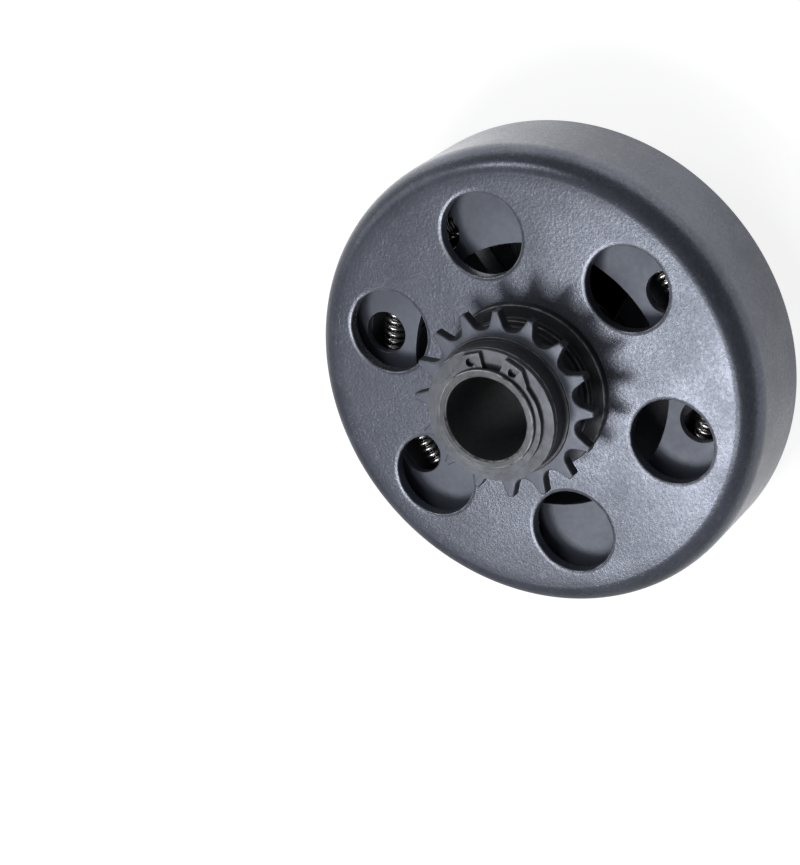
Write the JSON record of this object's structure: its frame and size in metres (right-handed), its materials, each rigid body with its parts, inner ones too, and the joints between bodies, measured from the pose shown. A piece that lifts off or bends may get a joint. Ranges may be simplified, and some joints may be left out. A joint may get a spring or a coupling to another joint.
{
  "type": "centrifugal clutch",
  "caption": "Centrifugal clutch: perforated bell drum with a chain sprocket turning on a bored hub, sliding shoes held in by a garter spring between guide plates.",
  "frame": {"origin": "centre of the annular end face of the rear boss, on the shaft axis", "axes": "+Z along the shaft axis towards the sprocket and circlip end, +X through the middle of one drum window"},
  "size_m": [0.112, 0.112, 0.0615],
  "materials": {
    "drum_steel": "phosphated, satin",
    "sprocket_steel": "black oxide, satin",
    "bush_bronze": "sintered, satin",
    "washer_steel": "satin",
    "spring_steel": "bright",
    "hub_steel": "turned, satin",
    "plate_steel": "phosphated, satin",
    "shoe_iron": "sintered, matt"
  },
  "bodies": {
    "hub_unit": {"hub": "hub_steel", "slotted_nut": "hub_steel", "front_guide_plate": "plate_steel", "rear_guide_plate": "plate_steel", "garter_spring": "spring_steel", "inner_thrust_washer": "washer_steel", "front_thrust_washer": "washer_steel", "retaining_ring": "spring_steel"},
    "drum_unit": {"drum": "drum_steel", "sprocket": "sprocket_steel", "drum_bush": "bush_bronze"},
    "shoe_1_unit": {"shoe_1": "shoe_iron"},
    "shoe_2_unit": {"shoe_2": "shoe_iron"},
    "shoe_3_unit": {"shoe_3": "shoe_iron"}
  },
  "joints": [
    {"name": "drum_spin", "type": "hinge", "parent": "hub_unit", "child": "drum_unit", "pos_m": [0, 0, 0], "axis": [0, 0, 1], "continuous": true},
    {"name": "shoe_1_slide", "type": "slide", "parent": "hub_unit", "child": "shoe_1_unit", "axis": [0.9724, 0.2334, 0], "range_m": [0, 0.0015], "stiffness_N_per_m": 6000, "springref_m": -0.0005},
    {"name": "shoe_2_slide", "type": "slide", "parent": "hub_unit", "child": "shoe_2_unit", "axis": [-0.6884, 0.7254, 0], "range_m": [0, 0.0015], "stiffness_N_per_m": 6000, "springref_m": -0.0005},
    {"name": "shoe_3_slide", "type": "slide", "parent": "hub_unit", "child": "shoe_3_unit", "axis": [-0.284, -0.9588, 0], "range_m": [0, 0.0015], "stiffness_N_per_m": 6000, "springref_m": -0.0005}
  ],
  "couplings": [
    {"joint": "shoe_2_slide", "follows": "shoe_1_slide", "ratio": 1},
    {"joint": "shoe_3_slide", "follows": "shoe_1_slide", "ratio": 1}
  ]
}
